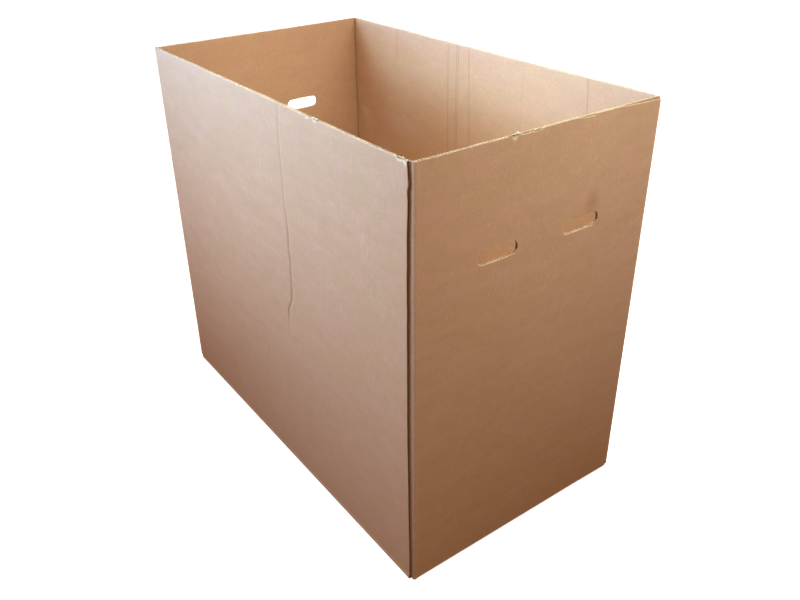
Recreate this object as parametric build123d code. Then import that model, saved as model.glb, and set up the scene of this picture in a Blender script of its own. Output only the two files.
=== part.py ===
from build123d import *
import os

os.makedirs("parts", exist_ok=True)

# Open-topped pallet box, folded from one sheet of double-wall corrugated board and glued.
# X runs along the length, Y across the width, Z up. The origin is the middle of the base.
# Every size is in millimetres.

# Overall size, outside to outside
box_length = 1200.0
box_width = 680.0
box_height = 1045.0

# Layers of the board, from the outside of the box inwards
outer_liner = 0.5
fine_flute = 2.4
middle_liner = 0.4
coarse_flute = 3.2
inner_liner = 0.5
board = outer_liner + fine_flute + middle_liner + coarse_flute + inner_liner

# Folds: the liner wraps round the outside, a crushed score runs up the inside
score_radius = 1.2

# Glue tab of the one factory joint, at the near corner; the front wall stops short of the fold
joint_gap = 6.5
tab_width = 45.0
tab_taper = 14.0
fine_channel_depth = 3.0
coarse_channel_depth = 4.0

# Flute ends that show where the board is cut across: one blind pocket for each coarse flute
flute_pitch = 7.9
flute_opening = 6.2
flute_end_depth = 10.0

# Bottom flaps: all four are cut to the same reach, and the long walls' flaps lie outermost
flap_meeting_gap = 4.0
flap_side_clearance = 1.0

# Die-cut hand holes, two in each end wall
hand_hole_length = 110.0
hand_hole_height = 35.0
hand_hole_spacing = 240.0
hand_hole_drop = 241.0

# Outer liner torn off along the knife-cut rim of the near end wall, each patch as
# (distance from the near corner, length, drop below the rim)
rim_tears = [(245.0, 76.0, 4.0), (433.0, 39.0, 5.0), (555.0, 140.0, 7.0)]
rim_tear_depth = outer_liner + fine_flute

# Outer liner torn back from the front wall's cut edge below the rim, and slit further down
edge_tear_width = 5.0
edge_tear_drop = 45.0
edge_tear_depth = 1.2
liner_slit_width = 2.0
liner_slit = [(1174.0, 510.0), (1176.0, 576.0)]

# Creases, each as points of (distance along the wall from the far end, drop below the rim)
crease_depth = 0.8
front_crease_width = 6.0
front_upright_crease = [(717.0, 4.0), (709.0, 89.0), (716.0, 304.0), (711.0, 492.0), (682.0, 564.0)]
front_level_crease = [(336.0, 540.0), (484.0, 541.0), (547.0, 537.0)]
back_crease_width = 4.0
back_creases = [(239.0, 84.0), (487.0, 420.0), (520.0, 470.0), (529.0, 470.0), (582.0, 400.0), (1001.0, 86.0)]

# Places that follow from the sizes above
half_length = box_length / 2
half_width = box_width / 2
inner_x = half_length - board
inner_y = half_width - board
cut_x = inner_x - joint_gap
wall_foot = 2 * board
flap_reach = half_width - flap_meeting_gap / 2
tab_fold_y = -half_width + 2 * board
through = 2 * board


def block(x0, x1, y0, y1, z0, z1):
    """Box between two opposite corners."""
    middle = ((x0 + x1) / 2, (y0 + y1) / 2, (z0 + z1) / 2)
    return Pos(*middle) * Box(abs(x1 - x0), abs(y1 - y0), abs(z1 - z0))


def corner_arc(start, centre, end):
    """Quarter circle round a fold, from start to end about its centre."""
    turn = 0.5 ** 0.5
    mid = tuple(c + turn * ((s - c) + (e - c)) for s, c, e in zip(start, centre, end))
    return ThreePointArc(start, mid, end)


def wall_ring():
    """Four walls in one run, from the front wall's cut edge round to the fold of the glue tab."""
    cut_start = (cut_x, -half_width)
    left_front = [(-inner_x, -half_width), (-inner_x, -inner_y), (-half_length, -inner_y)]
    left_back = [(-half_length, inner_y), (-inner_x, inner_y), (-inner_x, half_width)]
    right_back = [(inner_x, half_width), (inner_x, inner_y), (half_length, inner_y)]
    tab_fold = [(half_length, tab_fold_y), (inner_x, tab_fold_y), (inner_x, -inner_y)]
    with BuildSketch() as plan:
        with BuildLine():
            Line(cut_start, left_front[0])
            corner_arc(*left_front)
            Line(left_front[2], left_back[0])
            corner_arc(*left_back)
            Line(left_back[2], right_back[0])
            corner_arc(*right_back)
            Line(right_back[2], tab_fold[0])
            corner_arc(*tab_fold)
            Polyline(tab_fold[2], (cut_x, -inner_y), cut_start)
        make_face()
        Rectangle(2 * inner_x, 2 * inner_y, mode=Mode.SUBTRACT)
    return Pos(0, 0, wall_foot) * extrude(plan.sketch, box_height - wall_foot)


def glue_tab():
    """Tapered tab that folds off the near end wall and is glued inside the front wall."""
    outline = [
        (inner_x, wall_foot),
        (inner_x, box_height),
        (inner_x - tab_width, box_height - tab_taper),
        (inner_x - tab_width, wall_foot + tab_taper),
    ]
    face = Plane.XZ.offset(inner_y) * make_face(Polyline(*outline, close=True))
    return extrude(face, -board)


def long_flap(side):
    """Flap of a long wall: down past the wall's foot, round the fold and in to the middle line."""
    wall, inner = side * half_width, side * inner_y
    edge = side * flap_meeting_gap / 2
    far_end = -inner_x + flap_side_clearance
    near_end = (cut_x if side < 0 else inner_x) - flap_side_clearance
    with BuildSketch(Plane.YZ.offset(far_end)) as section:
        with BuildLine():
            Line((wall, wall_foot), (wall, board))
            corner_arc((wall, board), (inner, board), (inner, 0))
            Polyline((inner, 0), (edge, 0), (edge, board), (inner, board), (inner, wall_foot), (wall, wall_foot))
        make_face()
    return extrude(section.sketch, near_end - far_end)


def end_flap(side):
    """Flap of an end wall: round the fold and in over the long flaps."""
    wall, inner = side * half_length, side * inner_x
    edge = side * (half_length - flap_reach)
    with BuildSketch(Plane.XZ) as section:
        with BuildLine():
            corner_arc((wall, wall_foot), (inner, wall_foot), (inner, board))
            Polyline((inner, board), (edge, board), (edge, wall_foot), (wall, wall_foot))
        make_face()
    return extrude(section.sketch, inner_y - flap_side_clearance, both=True)


def score_grooves():
    """Crushed scores up the inside of the four upright folds."""
    corners = [(-inner_x, -inner_y), (-inner_x, inner_y), (inner_x, inner_y)]
    height = box_height - wall_foot
    grooves = [Pos(x, y, wall_foot + height / 2) * Cylinder(score_radius, height) for x, y in corners]
    tab_start = wall_foot + tab_taper
    tab_height = box_height - tab_start
    grooves.append(Pos(inner_x, tab_fold_y, tab_start + tab_height / 2) * Cylinder(score_radius, tab_height))
    return grooves


def edge_channels(x_edge, y_outside, z0, z1):
    """Open flutes along an upright cut edge that faces +X or -X, one for each fluted layer."""
    side = 1 if x_edge > 0 else -1
    fine_y = y_outside + outer_liner
    coarse_y = fine_y + fine_flute + middle_liner
    return [
        block(x_edge, x_edge - side * fine_channel_depth, fine_y, fine_y + fine_flute, z0, z1),
        block(x_edge, x_edge - side * coarse_channel_depth, coarse_y, coarse_y + coarse_flute, z0, z1),
    ]


def flute_row(start, along, out_of_edge, length):
    """Row of flute ends in a cut edge. Start lies on the board's outside at the row's first end."""
    edge = Plane(start, x_dir=along, z_dir=out_of_edge)
    root = outer_liner + fine_flute + middle_liner
    corners = [(-flute_opening / 2, root), (flute_opening / 2, root), (0, root + coarse_flute)]
    flute = extrude(make_face(Polyline(*corners, close=True)), -flute_end_depth)
    count = int(length // flute_pitch)
    first = (length - (count - 1) * flute_pitch) / 2
    return [edge * Pos(first + number * flute_pitch, 0, 0) * flute for number in range(count)]


def rim_flutes():
    """Flute ends round the rim, between the folds, and along the glue tab's upper edge."""
    up = (0, 0, 1)
    rim = box_height
    long_run, short_run = 2 * inner_x, 2 * inner_y
    return (
        flute_row((-inner_x, -half_width, rim), (1, 0, 0), up, long_run - joint_gap)
        + flute_row((half_length, tab_fold_y, rim), (0, 1, 0), up, short_run - board)
        + flute_row((inner_x, half_width, rim), (-1, 0, 0), up, long_run)
        + flute_row((-half_length, inner_y, rim), (0, -1, 0), up, short_run)
    )


def hand_hole_flutes():
    """Flute ends along the straight upper and lower edges of the hand holes."""
    straight = hand_hole_length - hand_hole_height
    middle = box_height - hand_hole_drop
    rows = []
    for x in (-1, 1):
        for y in (-1, 1):
            for z in (-1, 1):
                turn = -x * z
                start = (x * half_length, y * hand_hole_spacing / 2 - turn * straight / 2, middle + z * hand_hole_height / 2)
                rows += flute_row(start, (0, turn, 0), (0, 0, -z), straight)
    return rows


def end_flap_flutes():
    """Flute ends along the free edges of the end flaps, inside the box."""
    width = 2 * (inner_y - flap_side_clearance)
    rows = []
    for x in (-1, 1):
        start = (x * (half_length - flap_reach), x * width / 2, board)
        rows += flute_row(start, (0, -x, 0), (-x, 0, 0), width)
    return rows


def hand_holes():
    """Round-ended hand holes through both end walls."""
    height = box_height - hand_hole_drop
    slot = Plane.YZ * SlotOverall(hand_hole_length, hand_hole_height)
    places = [(x, y) for x in (-1, 1) for y in (-1, 1)]
    cutter = extrude(slot, through, both=True)
    return [Pos(x * (half_length - board / 2), y * hand_hole_spacing / 2, height) * cutter for x, y in places]


def rim_tear(start, length, drop):
    """Ragged patch below the near end wall's rim where the outer liner and its flutes are gone."""
    shares = [(0.0, 0.0), (0.08, 0.35), (0.3, 0.5), (0.46, 0.8), (0.62, 0.75), (0.8, 1.0), (0.96, 0.9), (1.0, 0.0)]
    first = start - half_width
    edge = [(first + share * length, box_height - fall * drop) for share, fall in shares]
    top = [(first + length, box_height + drop), (first, box_height + drop)]
    face = Plane.YZ.offset(half_length - rim_tear_depth) * make_face(Polyline(*edge, *top, close=True))
    return extrude(face, through)


def edge_tear():
    """Patch torn out of the outer liner beside the top of the front wall's cut edge."""
    outline = [
        (cut_x + edge_tear_width, box_height + edge_tear_width),
        (cut_x - 0.6 * edge_tear_width, box_height + edge_tear_width),
        (cut_x - 0.6 * edge_tear_width, box_height - 0.2 * edge_tear_drop),
        (cut_x - edge_tear_width, box_height - 0.45 * edge_tear_drop),
        (cut_x - 0.8 * edge_tear_width, box_height - 0.85 * edge_tear_drop),
        (cut_x, box_height - edge_tear_drop),
        (cut_x + edge_tear_width, box_height - edge_tear_drop),
    ]
    face = Plane.XZ.offset(half_width - edge_tear_depth) * make_face(Polyline(*outline, close=True))
    return extrude(face, through)


def pressed_line(face, points, width):
    """Shallow V-shaped crease pressed into a wall along a line of points below the rim."""
    route = face * Polyline(*[(along, -drop) for along, drop in points])
    section = Plane(route @ 0, x_dir=face.z_dir, z_dir=route % 0)
    corners = [(-crease_depth, 0), (crease_depth, -width), (crease_depth, width)]
    return sweep(section * make_face(Polyline(*corners, close=True)), path=route, transition=Transition.RIGHT)


def creases():
    """Creases and liner slit of the front wall's outside, and creases of the back wall's inside."""
    front = Plane((-half_length, -half_width, box_height), x_dir=(1, 0, 0), z_dir=(0, -1, 0))
    back = Plane((-half_length, inner_y, box_height), x_dir=(1, 0, 0), z_dir=(0, -1, 0))
    lines = [pressed_line(front, points, front_crease_width / 2) for points in (front_upright_crease, front_level_crease)]
    lines.append(pressed_line(front, liner_slit, liner_slit_width / 2))
    lines += [pressed_line(back, [(x, 0), (x, drop)], back_crease_width / 2) for x, drop in back_creases]
    return lines


pallet_box = wall_ring() + glue_tab()
pallet_box += [long_flap(side) for side in (-1, 1)]
pallet_box += [end_flap(side) for side in (-1, 1)]
pallet_box -= score_grooves()
pallet_box -= edge_channels(cut_x, -half_width, wall_foot, box_height)
pallet_box -= hand_holes()
pallet_box -= rim_flutes() + hand_hole_flutes() + end_flap_flutes()
pallet_box -= [rim_tear(*tear) for tear in rim_tears]
pallet_box -= edge_tear()
pallet_box -= creases()

export_step(pallet_box, "parts/pallet_box_board.step")
print("solids", len(pallet_box.solids()), "volume", round(pallet_box.volume), "size", pallet_box.bounding_box().size)
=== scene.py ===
"""Pallet box of double-wall kraft board: one folded sheet, glued at the near corner, open at the top.

Sizes are in millimetres on the board's own pattern and turned to metres when a mesh is made.
A point of the board is (u, v, depth): u along the cut edge or round the folds, v across it, and
depth from the outside of the box inwards through the board's layers.
"""

import logging
from collections.abc import Callable
from dataclasses import dataclass, field
from enum import Enum

import bpy
import numpy as np
from mathutils import Matrix, Vector

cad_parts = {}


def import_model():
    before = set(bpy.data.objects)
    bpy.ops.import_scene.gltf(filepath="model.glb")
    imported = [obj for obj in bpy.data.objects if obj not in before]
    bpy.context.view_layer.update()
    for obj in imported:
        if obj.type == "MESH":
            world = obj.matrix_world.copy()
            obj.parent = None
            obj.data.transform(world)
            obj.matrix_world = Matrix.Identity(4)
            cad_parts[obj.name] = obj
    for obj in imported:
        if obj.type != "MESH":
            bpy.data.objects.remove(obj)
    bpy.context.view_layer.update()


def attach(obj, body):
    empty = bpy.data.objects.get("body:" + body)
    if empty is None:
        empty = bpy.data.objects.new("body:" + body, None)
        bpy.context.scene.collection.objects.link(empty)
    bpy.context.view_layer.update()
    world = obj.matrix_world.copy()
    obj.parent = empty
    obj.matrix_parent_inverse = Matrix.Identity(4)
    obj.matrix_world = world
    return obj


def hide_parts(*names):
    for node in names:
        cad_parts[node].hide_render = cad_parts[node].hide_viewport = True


Array = np.ndarray
Materials = list[bpy.types.Material]
Socket = bpy.types.NodeSocket
Tree = bpy.types.NodeTree
Table = tuple[tuple[float, ...], ...]
Place = Callable[[Array, Array, Array], Array]
Depths = Callable[[Array, Array], tuple[Array, Array]]
LOG = logging.getLogger("pallet_box")
MM = 0.001
PER_METRE = 1000.0
NODE = "pallet_box_board"


class Face(Enum):
    """What a quad of the board shows, as the number of its material slot."""

    OUTER_LINER = 0
    INNER_LINER = 1
    FLUTING = 2
    TORN_FIBRE = 3


@dataclass(frozen=True)
class Board:
    """Layers of the board from the outside in, and the pitch of its two rows of flutes.

    Paper is the thickness of the fluted sheets, and inset is how far the plain outer face stands in
    from the box's own outside.
    """

    outer_liner: float = 0.5
    fine_flute: float = 2.4
    middle_liner: float = 0.4
    coarse_flute: float = 3.2
    inner_liner: float = 0.5
    fine_pitch: float = 6.4
    coarse_pitch: float = 7.9
    paper: float = 0.28
    inset: float = 0.25

    @property
    def thickness(self) -> float:
        """Whole thickness."""
        layers = (self.outer_liner, self.fine_flute, self.middle_liner, self.coarse_flute, self.inner_liner)
        return sum(layers)

    @property
    def middle(self) -> float:
        """Depth that parts its outer half from its inner half."""
        return self.thickness / 2

    @property
    def fine_middle(self) -> float:
        """Depth of the middle of the fine flutes."""
        return self.outer_liner + self.fine_flute / 2

    @property
    def liner_middle(self) -> float:
        """Depth of the middle of the middle liner."""
        return self.outer_liner + self.fine_flute + self.middle_liner / 2

    @property
    def coarse_middle(self) -> float:
        """Depth of the middle of the coarse flutes."""
        return self.thickness - self.inner_liner - self.coarse_flute / 2


@dataclass(frozen=True)
class BoxSize:
    """Outside sizes of the box, and the sizes of its glue joint and of the bottom's gaps."""

    length: float = 1200.0
    width: float = 680.0
    height: float = 1045.0
    joint_gap: float = 3.5
    tab_width: float = 45.0
    tab_taper: float = 14.0
    tab_bend: float = 1.5
    flap_meeting_gap: float = 4.0
    flap_clearance: float = 1.0


BOARD = Board()
SIZE = BoxSize()
# Inside faces of the end walls and of the long walls, and the front wall's cut edge at the glued corner
INNER_X = SIZE.length / 2 - BOARD.thickness
INNER_Y = SIZE.width / 2 - BOARD.thickness
CUT_X = INNER_X - SIZE.joint_gap
# The flaps' fold line, on two layers of flap, and how far the near end wall's foot hangs below it
FOOT = 2 * BOARD.thickness
FOOT_DROOP = 6.8
DROOP_END = 200.0
# Inside face of the glue tab, which lies behind the front wall
TAB_FOLD_Y = -SIZE.width / 2 + 2 * BOARD.thickness
# Length of the inside face that each fold takes
TURN = 5.5


def jagged(x: Array, step: float, seed: int) -> Array:
    """Random heights from 0 to 1: random values at even knots, joined by straight lines.

    Args:
        x: Places along an edge, in mm.
        step: Distance between knots, in mm.
        seed: Number of the random row.

    Returns:
        One height for each place.
    """
    knots = np.arange(np.floor(x.min() / step) - 1, np.ceil(x.max() / step) + 2)
    return np.interp(x / step, knots, np.random.default_rng(seed).random(knots.size))


def wander(x: Array, parts: Table, seed: int, start: float = 0.0) -> Array:
    """Sum of random rows: start + size * random height, for each part.

    Args:
        x: Places along an edge, in mm.
        parts: Size and distance between knots of each row.
        seed: Number of the first row.
        start: Value that the rows are added to.

    Returns:
        One sum for each place.
    """
    rows = (size * jagged(x, step, seed + number) for number, (size, step) in enumerate(parts))
    return sum(rows, start)


def ramp(x: Array, start: float, end: float) -> Array:
    """Smooth step from 0 at start to 1 at end: t * t * (3 - 2 t)."""
    t = np.clip((x - start) / (end - start), 0, 1)
    return t * t * (3 - 2 * t)


def droop(across: Array) -> Array:
    """How far the near end wall's foot hangs down: most at the near corner, evenly less to DROOP_END."""
    return FOOT_DROOP * np.clip((DROOP_END - across) / (DROOP_END + SIZE.width / 2), 0, 1)


def spread(start: float, end: float, step: float) -> Array:
    """Even places from start to end, about a step apart."""
    return np.linspace(start, end, max(2, round(abs(end - start) / step) + 1))


def to_nearest(u: Array, places: Array) -> Array:
    """Distance of each point to the nearest one of some places."""
    return np.min([np.abs(u - place) for place in places], axis=0)


def knit(base: Array, patches: list[Array], gap: float = 1.2) -> Array:
    """Puts patches of closer places into a row of places.

    Args:
        base: The row, in rising order.
        patches: Rows that replace the part of the base that they cover.
        gap: Clear distance kept between a patch and the rest.

    Returns:
        The new row, in rising order.
    """
    for patch in patches:
        outside = (base < patch[0] - gap) | (base > patch[-1] + gap)
        base = np.sort(np.concatenate([base[outside], patch]))
    return base


@dataclass(frozen=True)
class FoldedSheet:
    """Board bent round parallel folds, given by the path of its inside face.

    Attributes:
        stations: Distance along the sheet at which each straight run or fold starts.
        pivots: Place of the inside face at each station, in the plane across the folds.
        angles: Direction of the outward normal at each station, in degrees.
        axes: World axes of the two pivot coordinates and of the folds.
        squareness: How much further than an arc the crushed outside of a fold reaches.
    """

    stations: tuple[float, ...]
    pivots: tuple[tuple[float, float], ...]
    angles: tuple[float, ...]
    axes: tuple[int, int, int]
    squareness: float = 0.24

    def place(self, along: Array, across: Array, depth: Array) -> Array:
        """Places board points: inside face + outward normal * reach, and across along the fold.

        Reach = (thickness - depth) * (1 + squareness * sin(2 angle) squared), with the angle of the
        normal, so it is more than an arc's in the middle of a fold and the same at its ends.

        Args:
            along: Distance along the sheet.
            across: Place along the folds.
            depth: Depth from the outside.

        Returns:
            World points in metres, one more dimension than the arguments.
        """
        pivots = np.array(self.pivots)
        angle = np.radians(np.interp(along, self.stations, self.angles))
        reach = (BOARD.thickness - depth) * (1 + self.squareness * np.sin(2 * angle) ** 2)
        points = np.empty(np.shape(along) + (3,))
        points[..., self.axes[0]] = np.interp(along, self.stations, pivots[:, 0]) + np.cos(angle) * reach
        points[..., self.axes[1]] = np.interp(along, self.stations, pivots[:, 1]) + np.sin(angle) * reach
        points[..., self.axes[2]] = across
        return points * MM


@dataclass
class Shell:
    """Points and quads of one closed surface, still in the board's own coordinates."""

    points: list[Array] = field(default_factory=list)
    quads: list[Array] = field(default_factory=list)
    faces: list[Array] = field(default_factory=list)
    count: int = 0

    def add(self, u: Array, v: Array, depth: Array) -> Array:
        """Adds points.

        Args:
            u: First coordinates.
            v: Second coordinates.
            depth: Depths.

        Returns:
            Their numbers, in the shape of the arguments.
        """
        grid = np.stack(np.broadcast_arrays(u, v, depth), axis=-1).astype(float)
        numbers = self.count + np.arange(grid[..., 0].size).reshape(grid.shape[:-1])
        self.points.append(grid.reshape(-1, 3))
        self.count += numbers.size
        return numbers

    def cover(self, numbers: Array, face: Face | Array, keep: Array | None = None) -> None:
        """Covers a grid of point numbers with quads.

        Args:
            numbers: Point numbers, rows by columns.
            face: What the quads show, one value or one for each quad.
            keep: Which quads to make, all of them if None.
        """
        quads = np.stack([numbers[:-1, :-1], numbers[:-1, 1:], numbers[1:, 1:], numbers[1:, :-1]], axis=-1)
        value = face.value if isinstance(face, Face) else face
        shows = np.broadcast_to(value, quads.shape[:2])
        chosen = np.ones(quads.shape[:2], bool) if keep is None else keep
        self.quads.append(quads[chosen])
        self.faces.append(shows[chosen])

    def band(self, u: Array, near: Array, far: Array, depth: Array, edge: float, depths: Depths) -> None:
        """Adds one closed strip of paper that stands on edge in the board.

        Its section is a thin blade: half of edge thick at the cut, and the paper's own thickness
        further in. The strip follows (u, depth) and runs from near to far.

        Args:
            u: Places along the cut edge.
            near: v of the cut end.
            far: v of the hidden end.
            depth: Depth of the paper's middle in the plain board.
            edge: Thickness at the cut.
            depths: Depths of the liners' faces, between which the plain board is squeezed.
        """
        slope = np.sqrt(1 + np.gradient(depth, u) ** 2)
        thin, thick = BOARD.paper / 2 * slope, edge / 2 * slope
        rows = []
        for v, aside in ((near, -thick), (near, thick), (far, thin), (far, -thin)):
            outer, inner = depths(u, np.broadcast_to(v, u.shape))
            rows.append(self.add(u, v, outer + (depth + aside) * (inner - outer) / BOARD.thickness))
        numbers = np.stack(rows + rows[:1])
        shows = np.array([Face.TORN_FIBRE.value] + [Face.FLUTING.value] * 3)[:, None]
        self.cover(numbers, shows)
        for column, order in ((0, 1), (-1, -1)):
            cap = np.array([row[column] for row in rows])[::order]
            self.quads.append(cap[None])
            self.faces.append(np.array([Face.FLUTING.value]))

    def bead(self, u: Array, v: Array, depth: Array, section: Array, swell: Array, ends_meet: bool) -> None:
        """Adds one closed roll of torn fibres along a cut liner.

        Point = line + swell * section, with the section in the plane across the line: its first
        coordinate goes out of the edge and its second through the board.

        Args:
            u: Places along the line, first coordinate.
            v: Places along the line, second coordinate.
            depth: Depth of the line.
            section: Corners of the roll's section, (out of the edge, depth).
            swell: Size of the section at each place.
            ends_meet: Whether the line closes on itself.
        """
        line = np.stack([u, v], axis=-1)
        if ends_meet:
            step = (np.roll(line, -1, axis=0) - np.roll(line, 1, axis=0)) / 2
        else:
            step = np.gradient(line, axis=0)
        step /= np.linalg.norm(step, axis=1, keepdims=True)
        out = np.stack([-step[:, 1], step[:, 0]], axis=-1)
        rows = []
        for reach, sink in section:
            shifted = line + out * (reach * swell)[:, None]
            rows.append(self.add(shifted[:, 0], shifted[:, 1], depth + sink * swell))
        numbers = np.stack(rows + rows[:1])
        if ends_meet:
            numbers = np.concatenate([numbers, numbers[:, :1]], axis=1)
        else:
            for column, order in ((0, 1), (-1, -1)):
                cap = np.array([row[column] for row in rows])[::order]
                quads = np.stack([np.full(2, cap[0]), cap[[1, 3]], cap[[2, 4]], cap[[3, 5]]], axis=-1)
                self.quads.append(quads)
                self.faces.append(np.full(2, Face.TORN_FIBRE.value))
        self.cover(numbers, Face.TORN_FIBRE)


@dataclass(frozen=True)
class Fray:
    """Torn flakes of liner that stand up along a stretch of a cut edge.

    Attributes:
        start: Place where the stretch starts.
        end: Place where it ends.
        count: Number of flakes.
        length: Length of the longest flake.
        depth: Depth in the board that they grow from.
        seed: Number of the random row.
        curl: Bend of a flake, as a share of its length.
        half_thickness: Half the thickness of a flake.
        taper: Share of its width that a flake loses towards its tip.
        root: How far below the cut it starts.
        outermost: Least depth that it may reach.
    """

    start: float
    end: float
    count: int
    length: float
    depth: float
    seed: int
    curl: float = 0.35
    half_thickness: float = 0.14
    taper: float = 0.8
    root: float = 0.5
    outermost: float = 0.45

    def add_to(self, shell: Shell, top: Callable[[Array], Array], ceiling: float) -> None:
        """Adds the flakes: tapered blades of four cross sections that curl as they leave the edge.

        Point = base + axis * length * t + normal * curl * length * t * t, plus or minus half the width
        across, with the width falling by taper * t.

        Args:
            shell: Surface that takes them.
            top: Height of the cut at each place.
            ceiling: Highest v that a flake may reach.
        """
        rng = np.random.default_rng(self.seed)
        size = (self.count, 1)
        length = self.length * rng.uniform(0.35, 1.0, size)
        ranges = ((-1, 1), (0.05, 0.9), (-0.8, 0.8))
        axis = np.concatenate([rng.uniform(low, high, size) for low, high in ranges], 1)
        axis /= np.linalg.norm(axis, axis=1, keepdims=True)
        side = np.cross(axis, rng.normal(size=(self.count, 3)))
        side /= np.linalg.norm(side, axis=1, keepdims=True)
        normal = np.cross(axis, side)
        place = rng.uniform(self.start, self.end, self.count)
        base = np.stack([place, top(place) - self.root, np.full(self.count, self.depth)], axis=1)
        width = rng.uniform(0.1, 0.28, size) * length
        rows = []
        for across, through in ((-1, -1), (1, -1), (1, 1), (-1, 1)):
            ring = []
            for t in (0.0, 0.4, 0.75, 1.0):
                middle = base + axis * length * t + normal * (self.curl * length * t * t)
                half = side * (across * width * (1 - self.taper * t))
                ring.append(middle + half + normal * (through * self.half_thickness))
            rows.append(np.stack(ring, axis=1))
        corners = np.stack(rows, axis=1)
        corners[..., 1] = np.minimum(corners[..., 1], ceiling)
        corners[..., 2] = np.maximum(corners[..., 2], self.outermost)
        numbers = shell.add(corners[..., 0], corners[..., 1], corners[..., 2])
        sides = []
        for a, b in ((0, 1), (1, 2), (2, 3), (3, 0)):
            ends = [numbers[:, a, :-1], numbers[:, b, :-1], numbers[:, b, 1:], numbers[:, a, 1:]]
            sides.append(np.stack(ends, axis=-1))
        quads = [np.concatenate(sides, axis=1).reshape(-1, 4), numbers[:, ::-1, 0], numbers[:, :, -1]]
        shell.quads.append(np.concatenate(quads))
        shell.faces.append(np.full(sum(len(q) for q in quads), Face.TORN_FIBRE.value))


@dataclass(frozen=True)
class Marks:
    """Values that the materials read at each point, from its place on the board: worn spots with a painted
    highlight on the lit side of the creases, and painted shade in the creases and folds.
    """

    wear_and_highlight: Callable[[Array], Array]
    crease: Callable[[Array], Array]


def no_marks(points: Array) -> Array:
    """No worn spots, painted highlight or painted crease shade anywhere."""
    return np.zeros(len(points))


PLAIN = Marks(no_marks, no_marks)


def make_piece(name: str, shell: Shell, place: Place, materials: Materials, marks: Marks) -> bpy.types.Object:
    """Turns a shell into a Blender object that stands for the board.

    The faces are turned outwards where the enclosed volume comes out negative.

    Args:
        name: Name of the object.
        shell: Closed surface in the board's coordinates.
        place: Function from board coordinates to metres.
        materials: One material for each value of Face.
        marks: Worn spots with painted highlights, and painted shade in creases and folds.

    Returns:
        The object, at the origin.
    """
    points = np.concatenate(shell.points)
    quads = np.concatenate(shell.quads)
    shows = np.concatenate(shell.faces).astype(np.int32)
    world = place(*points.T)
    corners = world[quads]
    halves = np.cross(corners[:, 1], corners[:, 2]) + np.cross(corners[:, 2], corners[:, 3])
    if (corners[:, 0] * halves).sum() < 0:
        quads = quads[:, ::-1]
    mesh = bpy.data.meshes.new(name)
    mesh.vertices.add(len(world))
    mesh.vertices.foreach_set("co", world.astype(np.float32).ravel())
    mesh.loops.add(quads.size)
    mesh.loops.foreach_set("vertex_index", quads.astype(np.int32).ravel())
    mesh.polygons.add(len(quads))
    mesh.polygons.foreach_set("loop_start", np.arange(0, quads.size, 4, dtype=np.int32))
    mesh.polygons.foreach_set("material_index", shows)
    mesh.polygons.foreach_set("use_smooth", np.isin(shows, (Face.OUTER_LINER.value, Face.INNER_LINER.value)))
    mesh.update(calc_edges=True)
    mesh.validate()
    # The crease attribute carries painted shade in the creases and folds, and the worn-spot one also carries a
    # painted highlight
    for label, kind, key, values in (
        ("sheet", "FLOAT_VECTOR", "vector", points * MM),
        ("wear_and_highlight", "FLOAT", "value", marks.wear_and_highlight(points)),
        ("crease", "FLOAT", "value", marks.crease(points)),
    ):
        attribute = mesh.attributes.new(label, kind, "POINT")
        attribute.data.foreach_set(key, values.astype(np.float32).ravel())
    for material in materials:
        mesh.materials.append(material)
    piece = bpy.data.objects.new(name, mesh)
    bpy.context.scene.collection.objects.link(piece)
    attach(piece, "root")
    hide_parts(NODE)
    LOG.info("%s: %d points, %d quads", name, len(points), len(quads))
    return piece


@dataclass(frozen=True)
class PaperRow:
    """Row of paper between two liners: a wave for flutes, almost flat for the middle liner.

    Attributes:
        middle: Depth of its middle.
        height: Height of its wave, with the paper.
        pitch: Pitch of its wave.
        step: Distance between the places that draw it.
        seed: Number of its first random row.
        drift: Size and step of the slow and of the quick part of its drift.
    """

    middle: float
    height: float
    pitch: float
    step: float
    seed: int
    drift: Table = ((1.4, 120.0), (0.5, 21.0))

    def wave(self, u: Array, skip: int = 0) -> Array:
        """Depth = middle + half the height * sine of (2 pi u / pitch + a random drift).

        Args:
            u: Places along the cut edge.
            skip: Random rows to skip.

        Returns:
            One depth for each place.
        """
        phase = 2 * np.pi * u / self.pitch + wander(u, self.drift, self.seed + skip)
        return self.middle + (self.height - BOARD.paper) / 2 * np.sin(phase)


PAPER_ROWS = (
    PaperRow(BOARD.fine_middle, BOARD.fine_flute, BOARD.fine_pitch, 0.8, 31),
    PaperRow(BOARD.liner_middle, BOARD.paper, BOARD.fine_pitch, 4.0, 41),
    PaperRow(BOARD.coarse_middle, BOARD.coarse_flute, BOARD.coarse_pitch, 0.99, 51),
)


@dataclass(frozen=True)
class Setbacks:
    """How far the flutes stand back from each edge of a panel, between its liners."""

    left: float
    right: float
    top: float
    bottom: float


@dataclass(frozen=True)
class Window:
    """Part of a wall's grid that a hand hole takes: rows and columns of its frame, and its middle."""

    rows: tuple[int, int]
    columns: tuple[int, int]
    u: float
    v: float


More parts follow.
